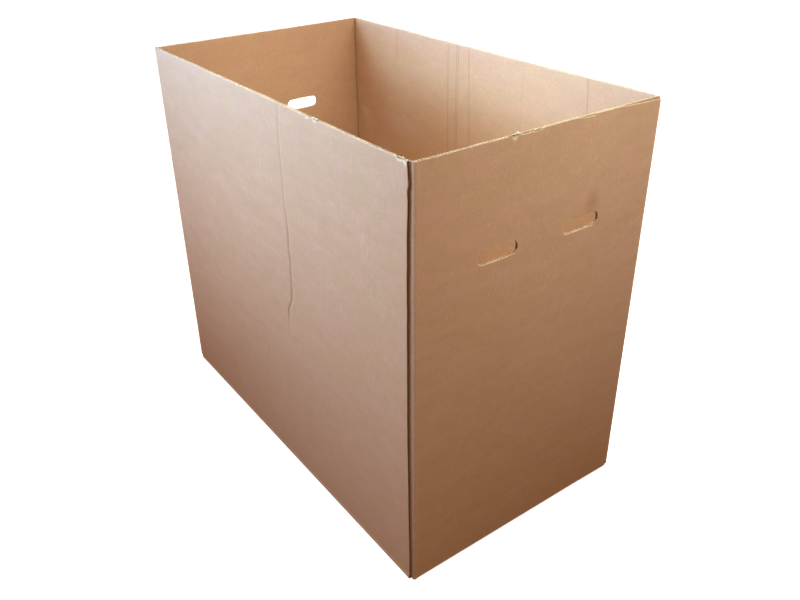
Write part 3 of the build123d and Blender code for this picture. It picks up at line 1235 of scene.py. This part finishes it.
@dataclass
class BottomFlap:
    """One of the four flaps that close the box underneath, folded off a wall's foot.

    Attributes:
        name: Name of the wall.
        side: -1 or 1, the side of the box that the wall is on.
        long: Whether the wall is a long one, whose flap lies outermost.
        step: Distance between the grid's lines across the fold.
        setbacks: Depths of the channel along its edges, with the free edge at the bottom.
    """

    name: str
    side: int
    long: bool
    step: float = 9.0
    setbacks: Setbacks = Setbacks(3, 3, 1, 14)

    def __post_init__(self) -> None:
        """Works out the flap's path and its two ends along the fold."""
        reach = SIZE.width / 2 - SIZE.flap_meeting_gap / 2 - BOARD.thickness
        facing = 0.0 if self.side > 0 else 180.0
        down = -90.0 if self.side > 0 else 270.0
        if self.long:
            wall, level = self.side * INNER_Y, BOARD.thickness
            near = CUT_X if self.side < 0 else INNER_X
            self.ends = (-INNER_X + SIZE.flap_clearance, near - SIZE.flap_clearance)
            axes = (1, 2, 0)
        else:
            wall, level = self.side * INNER_X, FOOT
            self.ends = (-INNER_Y + SIZE.flap_clearance, INNER_Y - SIZE.flap_clearance)
            axes = (0, 2, 1)
        drop = FOOT - level
        self.stations = (0.0, drop + 1e-3, drop + TURN, drop + TURN + reach)
        pivots = ((wall, FOOT), (wall, level), (wall, level), (wall - self.side * reach, level))
        self.sheet = FoldedSheet(self.stations, pivots, (facing, facing, down, down), axes)

    def place(self, u: Array, v: Array, depth: Array) -> Array:
        """Places board points, with u along the fold and v from the free edge back to the wall.

        The near end flap hangs with its wall's foot, and rises to its level within 6 mm of the fold.

        Args:
            u: Places along the fold.
            v: Places across it, from the free edge.
            depth: Depths.

        Returns:
            World points in metres.
        """
        along = self.stations[-1] - v
        points = self.sheet.place(along, u, depth)
        if self.name == "near_end":
            points[..., 2] -= MM * droop(u) * (1 - ramp(along, self.stations[2], self.stations[2] + 6))
        return points

    def depths(self, u: Array, v: Array) -> tuple[Array, Array]:
        """Depth of the liners' faces: flat, with the outer one set in a little."""
        return BOARD.inset + 0 * u, BOARD.thickness + 0 * u

    def build(self, materials: Materials) -> None:
        """Makes the flap and the flutes in its free edge.

        Args:
            materials: One material for each value of Face.
        """
        u = spread(self.ends[0], self.ends[1], self.step)
        last = self.stations[-1]
        bend = last - spread(self.stations[1], self.stations[2], TURN / 6)
        # Rows lie closer at the free edge and at the fold
        free = np.array([0, 1.5, 4, 9, 18, 30], float)
        rise = last - self.stations[2] - np.array([1.5, 3.0, 4.5, 6.0])
        v = np.unique(np.concatenate([free, spread(45, rise[-1] - 8, 22), rise, bend, [last]]))[::-1]
        v = v[np.concatenate([[True], np.abs(np.diff(v)) > 0.01])]
        grid_u, grid_v = np.meshgrid(u, v)
        shell = Panel(grid_u, grid_v, grid_v, self.depths, self.setbacks).build()
        for row in PAPER_ROWS:
            x = spread(self.ends[0] + 4, self.ends[1] - 4, row.step)
            near = 0.3 + 0.6 * jagged(x, row.pitch, row.seed)
            shell.band(x, near, np.full(x.size, self.setbacks.bottom - 1.0), row.wave(x), 0.5, self.depths)
        make_piece(f"{self.name}_bottom_flap", shell, self.place, materials, PLAIN)


def linear(colour: str) -> tuple[float, float, float, float]:
    """Turns an sRGB hex value into the linear colour that the nodes expect.

    Args:
        colour: Hex value, such as "#BC9271".

    Returns:
        Linear red, green and blue, and an alpha of 1.
    """
    parts = [int(colour[n : n + 2], 16) / 255 for n in (1, 3, 5)]
    red, green, blue = (c / 12.92 if c <= 0.04045 else ((c + 0.055) / 1.055) ** 2.4 for c in parts)
    return red, green, blue, 1.0


def add_node(tree: Tree, kind: str, inputs: dict | None = None, **settings: object) -> bpy.types.Node:
    """Adds one node with its settings, values and links.

    Args:
        tree: The node tree.
        kind: Node type after its "ShaderNode" part, such as "Math".
        inputs: Values or output sockets for its inputs, by name or number.
        **settings: Values of the node's own properties.

    Returns:
        The node.
    """
    node = tree.nodes.new("ShaderNode" + kind)
    for name, value in settings.items():
        setattr(node, name, value)
    for name, value in (inputs or {}).items():
        if isinstance(value, Socket):
            tree.links.new(value, node.inputs[name])
        else:
            node.inputs[name].default_value = value
    return node


def new_material(name: str) -> tuple[bpy.types.Material, Tree, bpy.types.Node]:
    """Makes a material with Blender's standard shader.

    Args:
        name: Name of the material.

    Returns:
        The material, its node tree and its shader.
    """
    material = bpy.data.materials.new(name)
    material.use_nodes = True
    return material, material.node_tree, material.node_tree.nodes["Principled BSDF"]


@dataclass(frozen=True)
class Pattern:
    """Uneven pattern in the paper, drawn at a real size.

    Attributes:
        size: Size along the sheet, across it and through it, in mm.
        detail: How many finer steps it has.
        origin: Place of its own origin on the sheet, in metres.
        lean: Turn of its own axes on the sheet, in radians.
    """

    size: tuple[float, float, float]
    detail: float
    origin: tuple[float, float, float] = (0.0, 0.0, 0.0)
    lean: float = 0.0

    def over(self, tree: Tree, sheet: Socket) -> Socket:
        """Draws the pattern.

        Args:
            tree: The node tree.
            sheet: Place on the sheet, in metres.

        Returns:
            Its strength, from 0 to 1 with its middle at 0.5.
        """
        size = tuple(MM * side for side in self.size)
        own = {"Vector": sheet, "Location": self.origin, "Rotation": (0.0, 0.0, self.lean), "Scale": size}
        placed = add_node(tree, "Mapping", own, vector_type="TEXTURE").outputs[0]
        inputs = {"Vector": placed, "Scale": 1.0, "Detail": self.detail, "Roughness": 0.6}
        return add_node(tree, "TexNoise", inputs).outputs["Fac"]


@dataclass(frozen=True)
class Tint:
    """Tone laid over a colour by a mask.

    Attributes:
        tone: sRGB hex value of the tone.
        low: Value of the mask that gives the first share.
        high: Value of the mask that gives the second share.
        first: Share of the tone at the low value.
        second: Share of the tone at the high value.
    """

    tone: str
    low: float
    high: float
    first: float
    second: float

    def lay(self, tree: Tree, colour: object, mask: Socket, cover: object = 1.0) -> Socket:
        """Lays the tone: its share is the mask, moved from one range to the other, times the cover.

        Args:
            tree: The node tree.
            colour: Colour below it.
            mask: Pattern that it follows.
            cover: Second mask, from 0 to 1.

        Returns:
            The new colour.
        """
        ranges = {"From Min": self.low, "From Max": self.high, "To Min": self.first, "To Max": self.second}
        share = add_node(tree, "MapRange", {"Value": mask, **ranges}).outputs[0]
        share = add_node(tree, "Math", {0: share, 1: cover}, operation="MULTIPLY").outputs[0]
        inputs = {"Factor": share, 6: colour, 7: linear(self.tone)}
        return add_node(tree, "Mix", inputs, data_type="RGBA").outputs[2]


@dataclass(frozen=True)
class KraftLiner:
    """Unbleached kraft linerboard, machine-made and calendered dry.

    It shows a matt brown with long pale fibres, cloudy formation across the machine, bark specks,
    a faint washboard of the flutes below it, worn folds, a painted highlight on the lit side of the creases
    and painted shade in the creases and folds.

    Attributes:
        name: Name of the material.
        cloud: Tone of the clouds in the formation.
        rosy: Tone of the reddish recycled fibre.
        straw: Tone of the yellowish recycled fibre.
        flute_pitch: Pitch of the flutes below it, in mm.
        smudge: Place of the grease smudge on the sheet, in mm.
        base: Main tone.
        pale: Tone of the fibres and the worn spots, and part of the painted crease highlight.
        bared_and_highlight: Tone where the skin is torn off, and of the painted crease highlight.
        dirt_and_shade: Tone of specks and soiling, and of the painted shade in creases and folds.
        grease: Tone of the smudge.
        smudge_size: Half sizes of the smudge, in mm.
    """

    name: str
    cloud: str
    rosy: str
    straw: str
    flute_pitch: float
    smudge: tuple[float, float] | None = None
    base: str = "#BC9271"
    pale: str = "#CFB093"
    # Also the tone of the painted highlight on the lit side of the outer creases
    bared_and_highlight: str = "#E2C6A4"
    # Also the tone of the painted shade in the creases and folds
    dirt_and_shade: str = "#80583F"
    grease: str = "#8A5530"
    smudge_size: tuple[float, float] = (20.0, 34.0)

    def build(self) -> bpy.types.Material:
        """Makes the material from the sheet, wear and crease values of each point.

        Returns:
            The material.
        """
        material, tree, shader = new_material(self.name)
        sheet = add_node(tree, "Attribute", attribute_name="sheet").outputs["Vector"]
        # Of the attributes below, the worn-spot one also carries a painted highlight on the lit side of the
        # outer creases, and the crease one is painted shade in the creases and folds
        wear_and_highlight = add_node(tree, "Attribute", attribute_name="wear_and_highlight").outputs["Fac"]
        crease = add_node(tree, "Attribute", attribute_name="crease").outputs["Fac"]
        # Formation: clouds about 110 x 40 mm, longer with the machine, which runs across the flutes
        clouds = Pattern((110, 40, 110), 5).over(tree, sheet)
        blotches = Pattern((46, 17, 46), 4).over(tree, sheet)
        # Recycled stock is uneven in hue: rosy patches and straw-coloured ones, about 90 x 60 mm
        patches = Pattern((90, 60, 90), 2, origin=(-7.0, -3.0, -1.0)).over(tree, sheet)
        # Fibres are 2 to 3 mm long and too fine for the picture, so they are drawn 9 x 2.5 mm
        fibres = Pattern((9, 2.5, 9), 2).over(tree, sheet)
        grain = Pattern((1.6, 1.6, 1.6), 2).over(tree, sheet)
        colour = linear(self.base)
        for tint, mask in (
            (Tint(self.cloud, 0.3, 0.7, 0.0, 0.7), clouds),
            (Tint(self.cloud, 0.42, 0.7, 0.0, 0.75), blotches),
            (Tint(self.rosy, 0.48, 0.68, 0.0, 0.45), patches),
            (Tint(self.straw, 0.52, 0.32, 0.0, 0.45), patches),
            (Tint(self.pale, 0.5, 0.72, 0.0, 0.28), fibres),
            (Tint(self.dirt_and_shade, 0.28, 0.47, 0.25, 0.0), grain),
        ):
            colour = tint.lay(tree, colour, mask)
        colour = self.add_scuffs(tree, sheet, colour)
        # Bark specks of about 1 mm, one or two in each 14 mm cell
        cell = add_node(tree, "Mapping", {"Vector": sheet, "Scale": (PER_METRE / 14,) * 3}).outputs[0]
        specks = add_node(tree, "TexVoronoi", {"Vector": cell, "Scale": 1.0}).outputs["Distance"]
        # Washboard: the liner sinks a little between the tips of the flutes
        along = add_node(tree, "SeparateXYZ", {0: sheet}).outputs[0]
        turns = 2 * np.pi * PER_METRE / self.flute_pitch
        phase = add_node(tree, "Math", {0: along, 1: turns}, operation="MULTIPLY").outputs[0]
        washboard = add_node(tree, "Math", {0: phase}, operation="SINE").outputs[0]
        for tint, mask, cover in (
            (Tint(self.dirt_and_shade, 0.04, 0.07, 0.4, 0.0), specks, 1.0),
            (Tint(self.dirt_and_shade, 0.2, 1.0, 0.0, 0.015), washboard, 1.0),
            # These two tones also paint the highlight on the lit side of the outer creases
            (Tint(self.pale, 0.3, 0.6, 0.25, 0.8), fibres, wear_and_highlight),
            (Tint(self.bared_and_highlight, 0.55, 0.9, 0.0, 0.85), wear_and_highlight, 1.0),
            # Painted shade in the creases and folds
            (Tint(self.dirt_and_shade, 0.0, 1.0, 0.0, 0.6), crease, 1.0),
        ):
            colour = tint.lay(tree, colour, mask, cover)
        if self.smudge:
            colour = self.add_smudge(tree, sheet, colour)
        height = 0.0
        for pattern, rise in ((washboard, 0.012), (fibres, 0.10), (blotches, 0.25), (grain, 0.05)):
            inputs = {0: pattern, 1: rise, 2: height}
            height = add_node(tree, "Math", inputs, operation="MULTIPLY_ADD").outputs[0]
        bump = add_node(tree, "Bump", {"Strength": 1.0, "Distance": MM, "Height": height})
        sheen = {"Value": clouds, "From Min": 0.3, "From Max": 0.7, "To Min": 0.5, "To Max": 0.62}
        tree.links.new(colour, shader.inputs["Base Color"])
        tree.links.new(add_node(tree, "MapRange", sheen).outputs[0], shader.inputs["Roughness"])
        tree.links.new(bump.outputs[0], shader.inputs["Normal"])
        shader.inputs["IOR"].default_value = 1.5
        shader.inputs["Specular IOR Level"].default_value = 0.6
        shader.inputs["Sheen Weight"].default_value = 0.15
        shader.inputs["Sheen Roughness"].default_value = 0.4
        return material

    def add_scuffs(self, tree: Tree, sheet: Socket, colour: Socket) -> Socket:
        """Lays the scuffs: pale strokes of 2.4 x 24 to 34 mm in loose groups, and wide soft dirty ones.

        Args:
            tree: The node tree.
            sheet: Place on the sheet, in metres.
            colour: Colour below them.

        Returns:
            The new colour.
        """
        for lean, size, tone, share in (
            (-0.25, (2.4, 24, 2.4), self.pale, 0.4),
            (0.3, (2.4, 34, 2.4), self.pale, 0.4),
            (-0.8, (9, 60, 9), self.dirt_and_shade, 0.1),
        ):
            strokes = Pattern(size, 1, lean=lean).over(tree, sheet)
            groups = Pattern((150, 120, 150), 2, lean=lean).over(tree, sheet)
            ranges = {"Value": groups, "From Min": 0.42, "From Max": 0.62, "To Min": 0.15, "To Max": 1.0}
            cover = add_node(tree, "MapRange", ranges).outputs[0]
            colour = Tint(tone, 0.62, 0.74, 0.0, share).lay(tree, colour, strokes, cover)
        return colour

    def add_smudge(self, tree: Tree, sheet: Socket, colour: Socket) -> Socket:
        """Lays the grease smudge where hands reach: a soft spot with an uneven edge.

        Args:
            tree: The node tree.
            sheet: Place on the sheet, in metres.
            colour: Colour below it.

        Returns:
            The new colour.
        """
        (u, v), (wide, high) = self.smudge, self.smudge_size
        scale = (PER_METRE / wide, PER_METRE / high, 0)
        centred = {"Vector": sheet, "Location": (-u / wide, -v / high, 0), "Scale": scale}
        spot = add_node(tree, "Mapping", centred).outputs[0]
        distance = add_node(tree, "VectorMath", {0: spot}, operation="LENGTH").outputs["Value"]
        wobble = Pattern((16, 16, 16), 3).over(tree, sheet)
        uneven = add_node(tree, "Math", {0: distance, 1: wobble}, operation="ADD").outputs[0]
        return Tint(self.grease, 0.5, 1.9, 0.45, 0.0).lay(tree, colour, uneven)


@dataclass(frozen=True)
class TornFibre:
    """Kraft paper cut by a knife or torn: raised pale fibres that catch the light, fully matt.

    Attributes:
        name: Name of the material.
        base: Tone of the raised fibres.
        shade: Tone between them.
    """

    name: str
    base: str
    shade: str

    def build(self) -> bpy.types.Material:
        """Makes the material.

        Returns:
            The material.
        """
        material, tree, shader = new_material(self.name)
        sheet = add_node(tree, "Attribute", attribute_name="sheet").outputs["Vector"]
        # Torn fibres stand in tufts of well under 1 mm, so the fuzz is drawn as coarse as 3 mm to show
        fuzz = Pattern((3, 3, 3), 3).over(tree, sheet)
        colour = Tint(self.base, 0.35, 0.65, 0.0, 1.0).lay(tree, linear(self.shade), fuzz)
        height = add_node(tree, "Math", {0: fuzz, 1: 0.6}, operation="MULTIPLY").outputs[0]
        bump = add_node(tree, "Bump", {"Strength": 1.0, "Distance": MM, "Height": height})
        tree.links.new(colour, shader.inputs["Base Color"])
        tree.links.new(bump.outputs[0], shader.inputs["Normal"])
        shader.inputs["Roughness"].default_value = 0.95
        shader.inputs["Sheen Weight"].default_value = 0.3
        return material


class Finish(Enum):
    """Finishes of the board, in the order of Face."""

    OUTER_LINER = KraftLiner(
        "kraft_liner_outer", "#B38867", "#C09079", "#B8906A", BOARD.fine_pitch, smudge=(3234.0, 840.0)
    )
    INNER_LINER = KraftLiner("kraft_liner_inner", "#B48968", "#BE9076", "#B99369", BOARD.coarse_pitch)
    FLUTING = TornFibre("kraft_fluting_medium", "#A9835F", "#94704F")
    TORN_FIBRE = TornFibre("torn_kraft_fibre", "#DFC6AA", "#C7A685")


@dataclass(frozen=True)
class Camera:
    """Camera at the photograph's angle.

    Attributes:
        place: Where it stands, in metres.
        azimuth: Direction that it looks from, in degrees from the front wall towards the near end.
        elevation: Height of that direction, in degrees.
        roll: Turn about the line of sight, in degrees.
        focal_pixels: Focal length in pixels of an image that is 800 wide.
        middle: Pixel that the line of sight meets, in an image of 800 x 600.
        image: Width and height of that image, in pixels.
    """

    place: tuple[float, float, float] = (1.6515, -1.1326, 1.5240)
    azimuth: float = 55.361
    elevation: float = 29.002
    roll: float = -1.268
    focal_pixels: float = 797.5
    middle: tuple[float, float] = (382.3, 289.5)
    image: tuple[int, int] = (800, 600)

    def build(self) -> None:
        """Makes the camera and the scene's choice of it."""
        data = bpy.data.cameras.new("photo_camera")
        width, height = self.image
        data.sensor_width = 36.0
        data.lens = self.focal_pixels / width * data.sensor_width
        data.shift_x = (width / 2 - self.middle[0]) / width
        data.shift_y = (self.middle[1] - height / 2) / width
        data.clip_end = 200
        azimuth, elevation, roll = np.radians([self.azimuth, self.elevation, self.roll])
        level, rise = np.cos(elevation), np.sin(elevation)
        back = Vector((np.sin(azimuth) * level, -np.cos(azimuth) * level, rise))
        sideways = Vector((np.cos(azimuth), np.sin(azimuth), 0))
        upright = back.cross(sideways)
        right = sideways * np.cos(roll) + upright * np.sin(roll)
        up = upright * np.cos(roll) - sideways * np.sin(roll)
        camera = bpy.data.objects.new("photo_camera", data)
        camera.matrix_world = Matrix.Translation(self.place) @ Matrix((right, up, back)).transposed().to_4x4()
        bpy.context.scene.collection.objects.link(camera)
        bpy.context.scene.camera = camera


@dataclass(frozen=True)
class Softbox:
    """Rectangular area lamp that looks at one point.

    Attributes:
        name: Name of the lamp.
        place: Where it hangs, in metres.
        aim: Point that it looks at, in metres.
        size: Its two sides, in metres.
        watts: Its power.
        colour: Linear colour of its light.
        opening: Full angle that its light is kept within, in degrees.
    """

    name: str
    place: tuple[float, float, float]
    aim: tuple[float, float, float]
    size: tuple[float, float]
    watts: float
    colour: tuple[float, float, float]
    opening: float

    def build(self) -> None:
        """Makes the lamp, unseen by the camera."""
        data = bpy.data.lights.new(self.name, "AREA")
        data.shape = "RECTANGLE"
        data.size, data.size_y = self.size
        data.energy = self.watts
        data.color = self.colour
        data.spread = np.radians(self.opening)
        lamp = bpy.data.objects.new(self.name, data)
        lamp.location = self.place
        lamp.rotation_euler = (Vector(self.aim) - Vector(self.place)).to_track_quat("-Z", "Y").to_euler()
        lamp.visible_camera = False
        bpy.context.scene.collection.objects.link(lamp)


@dataclass(frozen=True)
class Studio:
    """Plain pale floor, white surroundings and soft lamps.

    Attributes:
        ring_radii: Radii of the floor's rings of points, in metres.
        ring_points: Number of points in each ring.
        shadow_reach: Distances from the middle between which the floor turns fully white, in metres.
        painted_shadow: Half length and half width of the floor that is painted dark as the box's shadow, in
            metres.
        surroundings: Strength of the world's light.
        lamps: The lamps.
    """

    ring_radii: tuple[float, ...] = (1.0, 3.0, 9.0, 30.0)
    ring_points: int = 48
    shadow_reach: tuple[float, float] = (0.7, 2.2)
    # Floor under the box that is painted dark as its shadow
    painted_shadow: tuple[float, float] = (0.55, 0.3)
    surroundings: float = 0.70
    lamps: tuple[Softbox, ...] = (
        Softbox(
            "window_light", (-1.2, -2.9, 1.9), (0.0, -0.34, 1.6), (1.1, 0.9), 19.4, (0.39, 0.74, 1.0), 55.0
        ),
        Softbox(
            "low_window_light", (-0.6, -3.0, 1.4), (0.1, -0.34, 0.9), (1.2, 1.0), 6.2, (0.55, 0.65, 1.0), 70.0
        ),
        Softbox(
            "side_window_light", (-2.6, -1.7, 1.5), (-0.5, -0.34, 1.35), (1.1, 0.9), 5.6, (0.2, 0.5, 1.0), 42.0
        ),
        Softbox(
            "room_light", (2.3, 0.5, 1.9), (0.6, 0.2, 1.35), (0.9, 0.9), 2.8, (0.86, 1.0, 0.93), 50.0
        ),
        Softbox(
            "over_wall_light", (0.5, 1.3, 2.4), (0.4, -0.33, 0.7), (0.9, 0.6), 6.0, (0.78, 1.0, 0.85), 45.0
        ),
        Softbox(
            "back_wall_light", (0.3, -0.2, 2.2), (0.3, 0.33, 0.3), (0.5, 0.3), 1.1, (0.75, 1.0, 0.9), 30.0
        ),
        Softbox(
            "ceiling_light", (-0.1, 0.1, 2.4), (0.0, 0.0, 0.9), (0.8, 0.5), 8.6, (0.8, 1.0, 0.92), 60.0
        ),
    )

    def build(self) -> None:
        """Makes the world, the lamps and the floor: white to the eye, warm in the light that it gives."""
        bpy.context.scene.view_settings.view_transform = "Standard"
        world = bpy.data.worlds.new("studio")
        bpy.context.scene.world = world
        world.use_nodes = True
        tree = world.node_tree
        seen = self.seen_directly(tree, 1.0)
        colour = Tint("#FFFFFF", 0.0, 1.0, 0.0, 1.0).lay(tree, linear("#FFD6B2"), seen)
        strength = {"Value": seen, "To Min": self.surroundings, "To Max": 1.0}
        background = tree.nodes["Background"]
        tree.links.new(colour, background.inputs["Color"])
        tree.links.new(add_node(tree, "MapRange", strength).outputs[0], background.inputs["Strength"])
        for lamp in self.lamps:
            lamp.build()
        self.build_floor()

    @staticmethod
    def seen_directly(tree: Tree, mirrored: object) -> Socket:
        """Tells the rays that only look from those that carry light.

        Args:
            tree: The node tree.
            mirrored: Value for rays from mirrors.

        Returns:
            1 for rays from the camera and glass, that value for mirrors, 0 for light that falls on things.
        """
        path = add_node(tree, "LightPath").outputs
        inputs = {0: path["Is Glossy Ray"], 1: mirrored}
        glossy = add_node(tree, "Math", inputs, operation="MULTIPLY").outputs[0]
        seen = add_node(tree, "Math", {0: path["Is Camera Ray"], 1: glossy}, operation="MAXIMUM").outputs[0]
        inputs = {0: seen, 1: path["Is Transmission Ray"]}
        return add_node(tree, "Math", inputs, operation="MAXIMUM").outputs[0]

    def build_floor(self) -> None:
        """Makes the round floor: point = radius * (cos, sin) of the angle, with rings at rising radii."""
        count, rings = self.ring_points, len(self.ring_radii)
        angle = np.linspace(0, 2 * np.pi, count, endpoint=False)
        flat = [np.outer(self.ring_radii, np.cos(angle)), np.outer(self.ring_radii, np.sin(angle))]
        points = np.stack([*flat, np.zeros((rings, count))], axis=-1)
        numbers = np.arange(rings * count).reshape(rings, count)
        numbers = np.concatenate([numbers, numbers[:, :1]], axis=1)
        quads = np.stack([numbers[:-1, :-1], numbers[1:, :-1], numbers[1:, 1:], numbers[:-1, 1:]], axis=-1)
        mesh = bpy.data.meshes.new("floor")
        faces = [*quads.reshape(-1, 4).tolist(), numbers[0, :-1].tolist()]
        mesh.from_pydata(points.reshape(-1, 3), [], faces)
        mesh.materials.append(self.floor_paint())
        floor = bpy.data.objects.new("floor", mesh)
        bpy.context.scene.collection.objects.link(floor)

    def floor_paint(self) -> bpy.types.Material:
        """Makes the matt paint of the floor: white to the eye away from the box's shadow, and painted dark
        under the box as its shadow.

        Returns:
            The material.
        """
        material, tree, shader = new_material("matt_floor_paint")
        place = add_node(tree, "TexCoord").outputs["Object"]
        away = add_node(tree, "VectorMath", {0: place}, operation="LENGTH").outputs["Value"]
        start, end = self.shadow_reach
        far = add_node(tree, "MapRange", {"Value": away, "From Min": start, "From Max": end}).outputs[0]
        # No daylight gets under the box, so the floor there is painted dark as its shadow, which the bottom's
        # slit shows
        sides = add_node(tree, "SeparateXYZ", {0: place}).outputs
        below = add_node(tree, "NewGeometry").outputs["Backfacing"]
        painted_shadow = add_node(tree, "Math", {0: 1.0, 1: below}, operation="SUBTRACT").outputs[0]
        for axis, half in enumerate(self.painted_shadow):
            distance = add_node(tree, "Math", {0: sides[axis]}, operation="ABSOLUTE").outputs[0]
            inside = add_node(tree, "Math", {0: distance, 1: half}, operation="LESS_THAN").outputs[0]
            painted_shadow = add_node(tree, "Math", {0: painted_shadow, 1: inside}, operation="MULTIPLY").outputs[0]
        beyond_painted_shadow = add_node(tree, "Math", {0: 1.0, 1: painted_shadow}, operation="SUBTRACT").outputs[0]
        inputs = {0: self.seen_directly(tree, far), 1: beyond_painted_shadow}
        seen = add_node(tree, "Math", inputs, operation="MULTIPLY").outputs[0]
        colour = Tint("#F4F4F4", 0.0, 1.0, 0.0, 1.0).lay(tree, linear("#66564A"), seen)
        white = add_node(tree, "MapRange", {"Value": far, "To Min": 0.93, "To Max": 1.0}).outputs[0]
        glow = add_node(tree, "Math", {0: seen, 1: white}, operation="MULTIPLY").outputs[0]
        tree.links.new(colour, shader.inputs["Base Color"])
        tree.links.new(glow, shader.inputs["Emission Strength"])
        shader.inputs["Emission Color"].default_value = (1, 1, 1, 1)
        shader.inputs["Roughness"].default_value = 0.9
        shader.inputs["Specular IOR Level"].default_value = 0.1
        return material


def main() -> None:
    """Builds the studio and every piece."""
    logging.basicConfig(level=logging.INFO, format="%(name)s: %(message)s")
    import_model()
    Camera().build()
    Studio().build()
    materials = [finish.value.build() for finish in Finish]
    Walls().build(materials)
    for name, side, long in (
        ("front", -1, True),
        ("back", 1, True),
        ("far_end", -1, False),
        ("near_end", 1, False),
    ):
        BottomFlap(name, side, long).build(materials)


if __name__ == "__main__":
    main()
